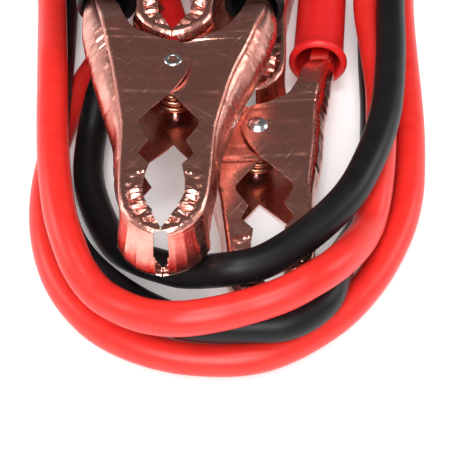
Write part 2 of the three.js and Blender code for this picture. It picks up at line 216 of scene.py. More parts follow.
def makeCopper():
    look = copperLook
    material, tree, shader = newMaterial("copperPlate", Metallic=1.0)
    wear = addNode(tree, "ShaderNodeGroup", node_tree=wearGroup)
    tree.links.new(objectPlace(tree), wear.inputs["Vector"])
    base = ramp(tree, wear.outputs["Cloud"], [(0.15, look["tarnished"]), (0.8, look["clean"])])
    rubbed = addNode(tree, "ShaderNodeMix", {"B": (*look["rubbed"], 1)}, data_type="RGBA")
    tree.links.new(wear.outputs["Rub"], rubbed.inputs["Factor"])
    tree.links.new(base, rubbed.inputs["A"])
    tree.links.new(rubbed.outputs["Result"], shader.inputs["Base Color"])
    rough = ramp(tree, wear.outputs["Cloud"],
                 [(0.1, (look["dull"],) * 3), (0.9, (look["smooth"],) * 3)])
    worn = addNode(tree, "ShaderNodeMix", {"B": (*(look["scratched"],) * 3, 1)}, data_type="RGBA")
    tree.links.new(wear.outputs["Scratch"], worn.inputs["Factor"])
    tree.links.new(rough, worn.inputs["A"])
    tree.links.new(worn.outputs["Result"], shader.inputs["Roughness"])
    total = addNode(tree, "ShaderNodeMath", {1: look["speckle"]}, operation="MULTIPLY")
    tree.links.new(wear.outputs["Speckle"], total.inputs[0])
    marks = addNode(tree, "ShaderNodeMath", {1: look["scratch"]}, operation="MULTIPLY_ADD")
    tree.links.new(wear.outputs["Scratch"], marks.inputs[0])
    tree.links.new(total.outputs[0], marks.inputs[2])
    dents = addNode(tree, "ShaderNodeMath", {1: look["dent"]}, operation="MULTIPLY_ADD")
    tree.links.new(wear.outputs["Rub"], dents.inputs[0])
    tree.links.new(marks.outputs[0], dents.inputs[2])
    bump = addNode(tree, "ShaderNodeBump",
                   {"Strength": look["bump"], "Distance": look["bumpDepth"]}, invert=True)
    tree.links.new(dents.outputs[0], bump.inputs["Height"])
    tree.links.new(bump.outputs["Normal"], shader.inputs["Normal"])
    return material


def makeMetal(name, light, dark, smooth, dull, grain):
    material, tree, shader = newMaterial(name, Metallic=1.0)
    wear = addNode(tree, "ShaderNodeGroup", node_tree=wearGroup)
    tree.links.new(objectPlace(tree), wear.inputs["Vector"])
    tree.links.new(ramp(tree, wear.outputs["Cloud"], [(0.2, dark), (0.8, light)]),
                   shader.inputs["Base Color"])
    tree.links.new(ramp(tree, wear.outputs["Cloud"], [(0.2, (dull,) * 3), (0.8, (smooth,) * 3)]),
                   shader.inputs["Roughness"])
    bump = addNode(tree, "ShaderNodeBump", {"Strength": grain, "Distance": 0.0001})
    tree.links.new(wear.outputs["Speckle"], bump.inputs["Height"])
    tree.links.new(bump.outputs["Normal"], shader.inputs["Normal"])
    return material


# Noise scales of the moulded plastic: colour, fine grain and shine
pvcGrain = {"mottle": 240.0, "grain": 1900.0, "flow": 45.0, "bump": 0.12, "bumpDepth": 0.0002}


def makePvc(name, light, dark, smooth, dull, shine):
    material, tree, shader = newMaterial(name, Specular_IOR_Level=shine)
    place = objectPlace(tree)
    mottle = addNode(tree, "ShaderNodeTexNoise", {"Scale": pvcGrain["mottle"], "Detail": 4.0})
    grain = addNode(tree, "ShaderNodeTexNoise", {"Scale": pvcGrain["grain"], "Detail": 2.0})
    flow = addNode(tree, "ShaderNodeTexNoise", {"Scale": pvcGrain["flow"], "Detail": 2.0})
    for node in (mottle, grain, flow):
        tree.links.new(place, node.inputs["Vector"])
    tree.links.new(ramp(tree, mottle.outputs["Fac"], [(0.35, dark), (0.65, light)]),
                   shader.inputs["Base Color"])
    tree.links.new(ramp(tree, flow.outputs["Fac"], [(0.35, (smooth,) * 3), (0.65, (dull,) * 3)]),
                   shader.inputs["Roughness"])
    bump = addNode(tree, "ShaderNodeBump",
                   {"Strength": pvcGrain["bump"], "Distance": pvcGrain["bumpDepth"]})
    tree.links.new(grain.outputs["Fac"], bump.inputs["Height"])
    tree.links.new(bump.outputs["Normal"], shader.inputs["Normal"])
    return material


weave = {"warp": 330.0, "weft": 420.0, "wander": 0.6, "fuzz": 3000.0, "bump": 0.8, "bumpDepth": 0.0004}


def makeStrap():
    material, tree, shader = newMaterial("strapWeave", Sheen_Weight=0.4, Sheen_Roughness=0.5)
    warp = addNode(tree, "ShaderNodeTexWave", {"Scale": weave["warp"], "Distortion": weave["wander"]},
                   wave_type="BANDS", bands_direction="Y")
    weft = addNode(tree, "ShaderNodeTexWave", {"Scale": weave["weft"], "Distortion": weave["wander"]},
                   wave_type="BANDS", bands_direction="DIAGONAL")
    fuzz = addNode(tree, "ShaderNodeTexNoise", {"Scale": weave["fuzz"], "Detail": 2.0})
    place = objectPlace(tree)
    for node in (warp, weft, fuzz):
        tree.links.new(place, node.inputs["Vector"])
    woven = addNode(tree, "ShaderNodeMath", operation="MULTIPLY")
    tree.links.new(warp.outputs["Fac"], woven.inputs[0])
    tree.links.new(weft.outputs["Fac"], woven.inputs[1])
    height = addNode(tree, "ShaderNodeMath", operation="ADD")
    tree.links.new(woven.outputs[0], height.inputs[0])
    tree.links.new(fuzz.outputs["Fac"], height.inputs[1])
    bump = addNode(tree, "ShaderNodeBump",
                   {"Strength": weave["bump"], "Distance": weave["bumpDepth"]})
    tree.links.new(height.outputs[0], bump.inputs["Height"])
    tree.links.new(bump.outputs["Normal"], shader.inputs["Normal"])
    tree.links.new(ramp(tree, woven.outputs[0], [(0.0, (0.006,) * 3), (1.0, (0.04, 0.04, 0.042))]),
                   shader.inputs["Base Color"])
    tree.links.new(ramp(tree, fuzz.outputs["Fac"], [(0.3, (0.75,) * 3), (0.7, (0.95,) * 3)]),
                   shader.inputs["Roughness"])
    return material


pvcLooks = {
    "redCable": {"light": (0.80, 0.028, 0.020), "dark": (0.73, 0.021, 0.016),
                 "smooth": 0.34, "dull": 0.42, "shine": 0.42},
    "blackCable": {"light": (0.008, 0.008, 0.009), "dark": (0.005, 0.005, 0.006),
                   "smooth": 0.36, "dull": 0.46, "shine": 0.24},
    "redGrip": {"light": (0.74, 0.018, 0.018), "dark": (0.66, 0.013, 0.014),
                "smooth": 0.30, "dull": 0.40, "shine": 0.42},
    "blackGrip": {"light": (0.010, 0.010, 0.012), "dark": (0.006, 0.006, 0.007),
                  "smooth": 0.30, "dull": 0.40, "shine": 0.42},
}
materials = {
    "copper": makeCopper(),
    "zinc": makeMetal("zincPlate", (0.86, 0.91, 0.93), (0.68, 0.74, 0.77), 0.1, 0.22, 0.12),
    "springWire": makeMetal("springWire", (0.78, 0.42, 0.28), (0.55, 0.26, 0.17), 0.2, 0.34, 0.15),
    "redCable": makePvc("redCableSheath", **pvcLooks["redCable"]),
    "blackCable": makePvc("blackCableSheath", **pvcLooks["blackCable"]),
    "redGrip": makePvc("redGripVinyl", **pvcLooks["redGrip"]),
    "blackGrip": makePvc("blackGripVinyl", **pvcLooks["blackGrip"]),
    "strap": makeStrap(),
}
print("materials made")


def dress(piece, look, body, nodes):
    piece.data.materials.clear()
    piece.data.materials.append(materials[look])
    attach(piece, body)
    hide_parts(*nodes)


# Cables
gripAxis = {"start": (19.3, 31.0), "slope": 0.162, "length": 52.0, "cableInGrip": 8.0}
blackRoute = [
    (-44.2, 46, 25.6), (-48.5, 56, 21.7), (-53.4, 69, 16.2), (-54.8, 87, 13.6),
    (-55, 131, 12.7), (-48, 156, 12.7), (-32, 173, 12.4), (-13, 180, 9.8), (7, 179.5, 5),
    (26, 171.5, 4), (41, 155.5, 4), (48.5, 135, 4), (49, 89, 5.8), (46.4, 58, 4.2),
    (42.8, 30, 4), (39.8, -5, 4), (38.6, -32, 4), (35.6, -58.6, 4), (33.3, -69, 4),
    (29.4, -77, 4.8), (26.1, -84.5, 8.1), (23.6, -92.3, 10.9), (21.3, -98.9, 12.3),
    (17.2, -103.7, 12.8), (11, -107, 13), (2.8, -107.1, 12.5), (-5.2, -106.9, 12.3),
    (-11.7, -105.6, 11.8), (-18.6, -101.1, 9.8), (-24.7, -95.7, 7.8), (-30.5, -90.6, 7.4),
    (-35.1, -86.8, 9.2), (-38.9, -81.8, 10.9), (-42, -73.4, 11.4), (-44.4, -62.5, 12.1),
    (-46.2, -45.4, 12.4), (-46.8, -30.1, 12), (-47.5, -15.7, 8.9), (-49.3, 14.6, 4),
    (-50, 43, 4), (-50, 89, 5.6), (-51.5, 141, 4), (-45, 165, 4), (-29, 182, 4), (-8, 190, 4),
    (14, 188, 4), (37, 178, 4), (53, 161, 4), (59, 140, 6.4), (56.8, 121, 10.4),
    (53.5, 89, 13.8), (50.9, 53, 16.7), (43.7, -3.9, 19.3), (41.5, -27.5, 20.4),
    (38.1, -48.7, 21.1), (32.6, -65.1, 21.4), (26.2, -77.4, 21.5), (15.2, -89.5, 21.5),
    (5.9, -96.2, 21.5), (0.5, -97.6, 21.4), (-3.1, -97.3, 20.3), (-5.9, -96.1, 18.4),
    (-8.6, -95.4, 17.3), (-12.3, -94.3, 16.1), (-17.1, -91.1, 13.9), (-22.2, -86.7, 10.8),
    (-27.2, -81, 7.6), (-31, -73.9, 5.2), (-35.3, -62.7, 4), (-37.4, -53.4, 4), (-37.4, -40, 5),
    (-35.7, -31.3, 9.5), (-34.2, -26.2, 12), (-33.2, -19.7, 14), (-36.5, -1, 14.5),
    (-40.5, 23, 13), (-44.5, 53, 12.8), (-45.5, 89, 13.6), (-45.4, 102, 14.4), (-43, 123, 23.5),
    (-35, 140, 27.4), (-19, 150, 28), (-3, 147, 28.2), (8, 135, 28.6), (13, 121, 28.8),
]
redRoute = [
    (32.6, 44, 7), (36, 55, 4.8), (40, 78, 5.5), (40.2, 89, 5.7), (40, 113, 4.2),
    (38.5, 136, 4), (29, 155, 4), (12, 168, 4), (-6, 170, 4), (-24, 163, 4), (-36, 148, 4),
    (-41, 129, 4.2), (-41.2, 89, 5.6), (-40, 28, 4), (-36.6, 5, 4), (-36, -6.9, 4),
    (-38.3, -12.8, 4), (-41.4, -21, 4), (-44.6, -31.1, 4), (-46.7, -40.8, 4),
    (-47.4, -49.9, 4), (-47.8, -58.6, 4), (-47.2, -68.5, 4), (-44.8, -80.1, 4),
    (-40.2, -90.9, 4), (-31.7, -101.2, 4), (-20.4, -107.6, 4), (-7.6, -110.4, 4),
    (7.1, -109.2, 4), (23.1, -99.5, 4), (33.4, -87.4, 4), (40.8, -73.2, 4), (44.5, -61.2, 4),
    (46.3, -49.5, 4), (47.7, -33.9, 4), (49.7, 14.1, 4), (52.8, 38, 4), (58.4, 89, 5.7),
    (59, 100, 5.4), (64, 117, 4.2), (68, 141, 4), (61, 169, 4), (42, 190, 4), (16, 200, 4),
    (-12, 201, 4), (-38, 192, 4), (-55, 173, 4), (-61, 145, 4), (-59, 89, 5.6),
    (-58.4, 61, 7.4), (-55, 33, 11.6), (-50.9, 3, 13.6), (-49.2, -11.8, 16.4),
    (-47.4, -26.9, 19.8), (-46.2, -38.6, 20.8), (-44.9, -52.9, 20.8), (-43.5, -65.1, 20.4),
    (-42.2, -72.9, 20), (-40.7, -80.2, 19.4), (-38.5, -87.1, 18.6), (-35.4, -94.3, 17),
    (-31.1, -100, 15.8), (-26.3, -103.9, 16), (-19.5, -108.2, 17.8), (-11.8, -110.4, 19.8),
    (-4.2, -109.7, 20.5), (4.2, -107.3, 20.7), (11.2, -105, 21.6), (17.1, -101.5, 22),
    (22.8, -96.1, 20.6), (28.3, -87.4, 16.7), (32.4, -77.7, 12.4), (34.8, -69.2, 12.2),
    (37.6, -52.3, 12.2), (39.3, -30.3, 12.2), (39, -14.4, 12.2), (38.5, 4.7, 12.2),
    (40.5, 18, 12.2), (44.8, 89, 13.6), (44.2, 111, 13.6), (38, 129, 13.2), (24, 141, 12.8),
    (6, 144, 12.2), (-12, 137, 10.8), (-22.5, 123, 9.6),
]
cableFacts = {
    "black": {"from": "a", "to": "c", "route": blackRoute, "look": "blackCable"},
    "red": {"from": "b", "to": "d", "route": redRoute, "look": "redCable"},
}
cableSize = {"diameter": 8.0, "rings": 7, "roundness": 6}


def alongGrip(key, reach, side=-1):
    axis = Vector((side * gripAxis["slope"], 1, 0)).normalized()
    mouth = Vector((side * gripAxis["start"][0], gripAxis["start"][1], clampHeight / 2))
    return clampMatrix(key) @ (mouth + axis * reach)


def smoothCurve(name, points, radius, rings, roundness):
    # Bezier handles of the same centripetal curve as the CAD route
    curve = bpy.data.curves.new(name, "CURVE")
    curve.dimensions = "3D"
    curve.bevel_depth = radius
    curve.bevel_resolution = roundness
    curve.resolution_u = rings
    curve.use_fill_caps = True
    spline = curve.splines.new("BEZIER")
    spline.bezier_points.add(len(points) - 1)
    ends = [points[0] * 2 - points[1], *points, points[-1] * 2 - points[-2]]
    for i, knot in enumerate(spline.bezier_points):
        before, here, after = ends[i], ends[i + 1], ends[i + 2]
        d0 = math.sqrt((here - before).length)
        d1 = math.sqrt((after - here).length)
        slope = (here - before) / d0 - (after - before) / (d0 + d1) + (after - here) / d1
        knot.handle_left_type = knot.handle_right_type = "FREE"
        knot.co = here
        knot.handle_left = here - slope * d0 / 3
        knot.handle_right = here + slope * d1 / 3
    piece = bpy.data.objects.new(name, curve)
    bpy.context.scene.collection.objects.link(piece)
    return piece


def makeCable(color):
    fact = cableFacts[color]
    reach = gripAxis["length"]
    inside = reach - gripAxis["cableInGrip"]
    points = [alongGrip(fact["from"], inside), alongGrip(fact["from"], reach + 1)]
    points += [Vector(p) for p in fact["route"]]
    points += [alongGrip(fact["to"], reach + 1), alongGrip(fact["to"], inside)]
    points = [p * mm for p in points]
    radius = cableSize["diameter"] / 2 * mm
    piece = smoothCurve(f"cable_{color}_sheath", points, radius,
                        cableSize["rings"], cableSize["roundness"])
    dress(piece, fact["look"], "root", [f"cable_{color}"])


makeCable("black")
makeCable("red")

# Clamp jaws: pressed sheet, one half at a time
# Rows from tip to handle: outer edge x, y and inner edge x, y. The last value
# says how the inner edge runs on to the next row: 0 straight, 1 rounded
jawRows = [
    (0.15, -52.3, 0.15, -50.2, 0), (1.5, -52.1, 0.7, -49.2, 0), (2.6, -51.85, 1.1, -48.5, 0),
    (4.6, -50.9, 1.8, -47.2, 0), (6.9, -48.9, 2.8, -45.4, 0), (8.7, -46, 3.5, -44, 0),
    (9.5, -43.2, 4.2, -42.3, 0), (9.8, -40.9, 4.7, -40.6, 0), (10.1, -37.3, 4.6, -37.3, 0),
    (10.35, -32.9, 3.7, -32.9, 0), (10.45, -29.5, 6.4, -29.5, 0), (10.55, -25.7, 4.3, -25.7, 0),
    (10.8, -21.2, 6.9, -21.0, 0), (11.1, -19.3, 6.9, -19.3, 0), (12.4, -11.9, 0.6, -11.9, 0),
    (12.6, -10.9, -0.2, -10.9, 1), (13.5, -6.4, -2.6, -6.4, 1), (14.15, -3.1, -3.8, -3.1, 1),
    (14.75, 0, -4.2, 0, 1), (15.5, 3, -3.7, 3, 1), (16.1, 5.4, -2.4, 5.4, 1),
    (16.5, 6.9, -0.3, 6.8, 0), (16.8, 7.9, 3.4, 7.6, 1), (17.4, 10.3, 8.9, 10.2, 1),
    (18.0, 12.9, 11.4, 12.9, 1), (18.8, 16, 12.9, 16, 1), (20.7, 23.7, 15.2, 23.7, 1),
    (21.8, 28, 16.8, 28, 0), (23.3, 37, 18.3, 37, 0), (27.95, 66, 22.95, 66, 0),
]
jaw = {
    "sheet": 1.0, "fold": 0.85, "neck": (14.0, 28.0), "handleHeight": 9.0, "tipSlope": 0.0036,
    "frontLean": 1.6, "fineStep": 0.36, "step": 0.62, "handleStep": 3.0,
    "fineEnd": -30.0, "handleStart": 30.0, "acrossPlate": 15,
    "slotHalf": 1.5, "slot": (2.7, 15.9), "slotEdge": -51.5, "edgeRound": 0.3,
    # the corners of spine and bulge are rounded over this length
    "softness": 1.6,
    # the plate isn't quite flat; the free half dips under the other one's lug
    "wave": 0.07, "lugStep": 1.18, "lugEdge": 4.8, "lugFade": 15.0,
    "dimple": {"x": 16.4, "y": 16.6, "radius": 1.3, "depth": 0.55},
    # half width to the plate's outer edge, along Y
    "spine": [(-46, 8.7), (-43.2, 9.5), (-39, 9.95), (-34, 10.25), (-23, 10.6), (-19.4, 11.0),
              (-0.4, 14.7), (12.4, 17.9), (28, 21.8), (66, 27.95)],
    # how far the pressed side stands out of the plate's edge, along Y
    "bulge": [(-37.2, 0), (-36.4, 0.7), (-35.2, 1.2), (-32, 1.5), (-26, 1.8), (-19.4, 2.3),
              (-10, 3.4), (0, 4.4), (12, 4.9), (20, 4.5), (27, 3.2), (31, 2.1), (40, 1.4), (66, 1.0)],
}
# Side wall from the top plate's fold to mid height: share of the bulge, extra
# outward step, and depth below the top face
sideProfile = [
    (0.0, -0.10, 1.4), (0.02, -0.15, 1.75), (0.10, -0.07, 2.15), (0.22, 0.04, 2.7), (0.34, 0.08, 3.2),
    (0.46, 0.05, 3.75), (0.58, 0.0, 4.4), (0.68, -0.01, 5.0), (0.77, 0.02, 5.6), (0.86, 0.05, 6.3),
    (0.93, 0.06, 7.0), (0.98, 0.03, 7.9), (1.0, 0.0, 8.8),
]


def heightShare(y):
    start, end = jaw["neck"]
    low = jaw["handleHeight"] / clampHeight
    neck = 1 + jaw["tipSlope"] * start
    if y <= start:
        share = 1 + jaw["tipSlope"] * y
    else:
        share = neck + (low - neck) * min(1, (y - start) / (end - start))
    return share


# Hammered teeth at the tip, in mm: a sunk band inside a raised rim, with folds across
teeth = {
    "recess": 0.8, "recessFrom": -37.5, "recessTo": -42.5, "marksFrom": -31.5, "marksTo": -36.5,
    "rim": 0.18, "rimFrom": -40.0, "rimTo": -44.0, "ridge": 0.6, "pits": 0.22, "folds": 0.3,
}


def crimp(x, y, fromRim, fromGap):
    deep = ease(teeth["recessFrom"], teeth["recessTo"], y)
    mark = ease(teeth["marksFrom"], teeth["marksTo"], y)
    height = -teeth["recess"] * deep * ease(0.5, 1.5, fromRim)
    height += teeth["rim"] * ease(teeth["rimFrom"], teeth["rimTo"], y) * (1 - ease(0.5, 1.3, fromRim))
    run = y * 0.97 + x * 0.24
    fold = noise.noise(Vector((x * 0.16, run * 0.42, 3.1)))
    ridge = 1 - abs(noise.noise(Vector((x * 0.17 + 7, run * 0.50 + 0.8 * fold, 8.4)))) * 3.4
    pits = noise.noise(Vector((x * 0.5, run * 1.25, 1.7)))
    keep = ease(0.3, 1.2, fromRim) * (0.4 + 0.6 * ease(0.0, 0.7, fromGap))
    marks = teeth["ridge"] * ridge * (0.45 + 0.55 * deep) + teeth["pits"] * pits + teeth["folds"] * fold
    return height + mark * keep * marks


def softly(table, y):
    # a table's value with its corners rounded
    return sum(curveAt(table, y + jaw["softness"] * k / 4) for k in range(-4, 5)) / 9


def jawStations():
    # every row of the mesh: outer point, outward direction, inner point
    rows = []
    for i in range(len(jawRows) - 1):
        here, after = jawRows[i], jawRows[i + 1]
        before = jawRows[max(0, i - 1)]
        later = jawRows[min(len(jawRows) - 1, i + 2)]
        longest = max(math.hypot(after[0] - here[0], after[1] - here[1]),
                      math.hypot(after[2] - here[2], after[3] - here[3]))
        step = jaw["step"]
        if here[1] < jaw["fineEnd"]:
            step = jaw["fineStep"]
        if here[1] > jaw["handleStart"]:
            step = jaw["handleStep"]
        count = max(1, math.ceil(longest / step))
        for k in range(count):
            t = k / count
            row = []
            for c in range(4):
                straight = here[c] + (after[c] - here[c]) * t
                a, b, d, e = before[c], here[c], after[c], later[c]
                rounded = 0.5 * (2 * b + (d - a) * t + (2 * a - 5 * b + 4 * d - e) * t * t
                                 + (3 * b - a - 3 * d + e) * t ** 3)
                row.append(rounded if c > 1 and here[4] and before[4] else straight)
            rows.append(row)
    rows.append(list(jawRows[-1][:4]))
    for row in rows:
        if row[1] > -45.5:
            row[0] = softly(jaw["spine"], row[1])
    stations = []
    for i, row in enumerate(rows):
        if i == 0:
            outward = Vector((0, -1))
        elif row[1] > -44.5:
            lean = softly(jaw["spine"], row[1] + 1.5) - softly(jaw["spine"], row[1] - 1.5)
            outward = Vector((3, -lean)).normalized()
        else:
            ahead, behind = rows[i + 1], rows[i - 1]
            outward = Vector((ahead[1] - behind[1], behind[0] - ahead[0])).normalized()
        stations.append((Vector(row[:2]), outward, Vector(row[2:])))
    return stations


def sectionOf(outer, outward, inner, isFree, pressed):
    # the C-shaped section of one station, from the top plate's inner edge round
    fold = jaw["fold"]
    y = outer.y
    bulge = softly(jaw["bulge"], y) * pressed if outer.x > 9 else 0
    front = 1 - ease(-47, -42, y)
    held = min(1, bulge / 2)
    rim = outer - outward * fold
    upper = []
    count = jaw["acrossPlate"]
    for k in range(count + 1):
        share = k / count
        place = inner.lerp(rim, share)
        depth = 0.0
        fromRim = (rim - place).length
        fromGap = (place - inner).length
        lift = crimp(place.x, place.y, fromRim, fromGap) if place.y < jaw["fineEnd"] else 0
        wave = noise.noise(Vector((place.x * 0.09, place.y * 0.07, 5.5))) * jaw["wave"]
        if isFree:
            depth += jaw["lugStep"] * (1 - ease(jaw["lugEdge"], jaw["lugFade"], place.length))
            dimple = jaw["dimple"]
            away = math.hypot(place.x - dimple["x"], place.y - dimple["y"])
            depth += dimple["depth"] * (1 - ease(0.2, dimple["radius"], away))
        depth -= wave * ease(-38, -30, place.y)
        upper.append((place.x, place.y, clampHeight - depth + lift))
    for k in range(1, 5):
        angle = math.pi / 2 * k / 4
        place = outer + outward * (fold * (math.sin(angle) - 1))
        upper.append((place.x, place.y, clampHeight - fold * (1 - math.cos(angle))))
    for share, step, depth in sideProfile:
        place = outer + outward * (bulge * share + step * held)
        upper.append((place.x, place.y, clampHeight - depth))
    lower = [(x, y0, clampHeight - z) for x, y0, z in reversed(upper[:-1])]
    whole = upper + lower
    # the front wall leans out towards the underside, at the tip only
    leaning = []
    for x, y0, z in whole:
        lean = jaw["frontLean"] * front * ease(clampHeight, 3.0, z) * (0.4 + 0.6 * ease(0, 3, z))
        near = 1 if z < clampHeight - 0.1 else 0
        leaning.append((x + outward.x * lean * near, y0 + outward.y * lean * near, z))
    return leaning


def pressHalf(name, isFree, pressed, spread):
    # pressed: share of the bulge; spread: how far the plate widens beside the rivet, in mm
    stations = jawStations()
    for outer, _, inner in stations:
        shift = spread * ease(-8, 12, outer.y) * (1 - ease(21, 32, outer.y))
        outer.x += shift
        inner.x += shift * ease(4, 14, inner.y)
    sections = [sectionOf(*station, isFree, pressed) for station in stations]
    across, along = len(sections[0]), len(sections)
    deselectAll()
    bpy.ops.mesh.primitive_grid_add(x_subdivisions=across - 1, y_subdivisions=along - 1, size=1)
    piece = bpy.context.object
    piece.name = piece.data.name = name
    side = 1 if isFree else -1
    middle = clampHeight / 2
    flat = []
    for section in sections:
        for x, y, z in section:
            share = heightShare(y)
            flat += [side * x * mm, y * mm, (middle + (z - middle) * share) * mm]
    piece.data.vertices.foreach_set("co", flat)
    piece.data.update()
    bpy.ops.object.mode_set(mode="EDIT")
    bpy.ops.mesh.select_mode(type="FACE")
    bpy.ops.mesh.select_all(action="SELECT")
    if isFree:
        bpy.ops.mesh.flip_normals()
    # the slot in the front wall
    bpy.ops.mesh.select_all(action="DESELECT")
    bpy.ops.object.mode_set(mode="OBJECT")
    low, high = jaw["slot"]
    for face in piece.data.polygons:
        x, y, z = (value / mm for value in face.center)
        face.select = abs(x) < jaw["slotHalf"] and y < jaw["slotEdge"] and low < z < high
    bpy.ops.object.mode_set(mode="EDIT")
    bpy.ops.mesh.delete(type="FACE")
    bpy.ops.object.mode_set(mode="OBJECT")
    addModifier(piece, "SOLIDIFY", thickness=jaw["sheet"] * mm, offset=-1, use_even_offset=True,
                thickness_clamp=1.0)
    addModifier(piece, "BEVEL", width=jaw["edgeRound"] * mm, segments=2, limit_method="ANGLE",
                angle_limit=math.radians(58), use_clamp_overlap=True)
    smoothShade(piece, 42)
    return piece


def copyTo(key, source, name, side=None):
    piece = source.copy()
    piece.data = source.data.copy()
    piece.name = piece.data.name = name
    bpy.context.scene.collection.objects.link(piece)
    matrix = clampMatrix(key)
    local = Matrix.Identity(4)
    if side is not None:
        turn = Matrix.Rotation(-side * math.atan(gripAxis["slope"]), 4, "Z")
        start = Vector((side * gripAxis["start"][0], gripAxis["start"][1], clampHeight / 2))
        local = Matrix.Translation(start * mm) @ turn
    world = matrix.copy()
    world.translation = matrix.translation * mm
    piece.matrix_world = world @ local
    bpy.context.view_layer.update()
    bakePlace(piece)
    return piece


# Turned and swept parts of a clamp
def spinProfile(name, profile, axis, steps=48):
    # profile points are (radius, height) in mm; the outline is drawn by extruding one vertex
    deselectAll()
    bpy.ops.mesh.primitive_plane_add(size=0.001)
    piece = bpy.context.object
    piece.name = piece.data.name = name
    bpy.ops.object.mode_set(mode="EDIT")
    bpy.ops.mesh.select_mode(type="VERT")
    bpy.ops.mesh.select_all(action="SELECT")
    bpy.ops.mesh.merge(type="CENTER")
    place = [Vector((r, 0, h)) if axis == "Z" else Vector((r, h, 0)) for r, h in profile]
    bpy.ops.transform.translate(value=place[0] * mm)
    for before, after in zip(place, place[1:]):
        bpy.ops.mesh.extrude_vertices_move(TRANSFORM_OT_translate={"value": (after - before) * mm})
    bpy.ops.mesh.select_all(action="SELECT")
    spinAxis = (0, 0, 1) if axis == "Z" else (0, 1, 0)
    bpy.ops.mesh.spin(steps=steps, angle=math.pi * 2, center=(0, 0, 0), axis=spinAxis)
    bpy.ops.mesh.select_all(action="SELECT")
    bpy.ops.mesh.remove_doubles(threshold=0.000004)
    bpy.ops.mesh.normals_make_consistent(inside=False)
    bpy.ops.object.mode_set(mode="OBJECT")
    return piece


# Radii and lengths; the grooves run round the narrow end
gripSize = {"lip": 8.0, "sleeve": 6.9, "wall": 1.15, "end": 5.5, "endLength": 11.0,
            "grooves": 3, "grooveDepth": 0.35, "cableHole": 4.3}


def makeGrip(withCable):
    size = gripSize
    lip, sleeve, end, length = size["lip"], size["sleeve"], size["end"], gripAxis["length"]
    bore = sleeve - size["wall"]
    neck = length - size["endLength"]
    outside = [
        (bore + 0.15, 1.2), (bore + 0.35, 0.35), (bore + 0.9, -0.1), (lip - 0.45, 0.1),
        (lip - 0.02, 0.75), (lip, 1.4), (lip - 0.35, 2.3), (lip - 0.8, 3.3),
        (sleeve + 0.02, 5.2), (sleeve, 12), (sleeve, 24), (sleeve, neck - 1.5),
        (sleeve - 0.15, neck - 0.3), (end + 0.35, neck + 3.2), (end, neck + 4.4),
    ]
    for k in range(size["grooves"]):
        start = neck + 5.2 + 1.8 * k
        bottom = end - size["grooveDepth"]
        outside += [(end, start), (bottom, start + 0.3), (bottom, start + 0.8), (end, start + 1.1)]
    outside += [(end, length - 0.5), (end - 0.4, length)]
    if withCable:
        hole = size["cableHole"]
        back = [(hole + 0.15, length), (hole, length - 0.4), (hole, neck - 4)]
    else:
        outside[-1] = (end - 0.5, length - 0.1)
        back = [(2.0, length), (0.0, length), (0.0, neck - 4), (bore - 0.5, neck - 4.2)]
    profile = outside + back + [(bore, neck - 5), (bore, 20), (bore, 4), outside[0]]
    name = "cableGripSleeve" if withCable else "plainGripSleeve"
    piece = spinProfile(name, profile, "Y")
    smoothShade(piece, 50)
    return piece


# Dome below the clamp, shank through it, ring rolled over on top
rivetSize = {"dome": 2.85, "domeHeight": 1.38, "domeFoot": 0.12, "shank": 1.7, "above": 0.1,
             "ring": 1.62, "ringWidth": 0.63, "ringHeight": 0.57, "steps": 8}


def makeRivet():
    size = rivetSize
    foot, shank, steps = size["domeFoot"], size["shank"], size["steps"]
    high = clampHeight + size["above"]
    profile = [(0, -foot - size["domeHeight"])]
    for k in range(1, steps + 1):
        angle = math.pi / 2 * k / steps
        profile.append((size["dome"] * math.sin(angle),
                        -foot - size["domeHeight"] * math.cos(angle) ** 1.15))
    profile += [(size["dome"] - 0.05, -0.05), (shank, -0.05), (shank, high), (2.2, high)]
    for k in range(steps + 1):
        angle = math.pi * k / steps
        profile.append((size["ring"] + size["ringWidth"] * math.cos(angle),
                        high + 0.08 + size["ringHeight"] * math.sin(angle)))
    # the hollow inside the ring
    profile += [(0.9, high - 0.15), (0.72, high - 0.5), (0.45, high - 0.62), (0.3, high - 0.45),
                (0, high - 0.4)]
    piece = spinProfile("rivetTurned", profile, "Z", 40)
    smoothShade(piece, 48)
    return piece


springWire = {"radius": 0.85, "coil": 4.4, "turns": 4, "pitch": 2.2, "legReach": 16.4,
              "freeLegReach": 13.2, "legEnd": 14.76, "legBend": 6.6, "startTurn": 0.62,
              "turnSteps": 12}


def makeSpring():
    wire = springWire
    middle = clampHeight / 2
    low = middle - wire["turns"] * wire["pitch"] / 2
    high = low + wire["turns"] * wire["pitch"]
    reach, freeReach = wire["legReach"], wire["freeLegReach"]
    points = [(-reach, wire["legEnd"], low), (-reach * 0.5, wire["legBend"], low)]
    turns = wire["turns"] + wire["startTurn"] - 0.5
    count = round(turns * wire["turnSteps"])
    for i in range(count + 1):
        angle = math.pi * wire["startTurn"] - 2 * math.pi * turns * i / count
        points.append((wire["coil"] * math.cos(angle), wire["coil"] * math.sin(angle),
                       low + (high - low) * i / count))
    points += [(freeReach * 0.5, wire["legBend"], high),
               (freeReach, wire["legEnd"] * freeReach / reach, high)]
    path = [Vector(p) * mm for p in points]
    piece = smoothCurve("springWound", path, wire["radius"] * mm, 3, 3)
    activate(piece)
    bpy.ops.object.convert(target="MESH")
    piece = bpy.context.object
    smoothShade(piece, 60)
    return piece


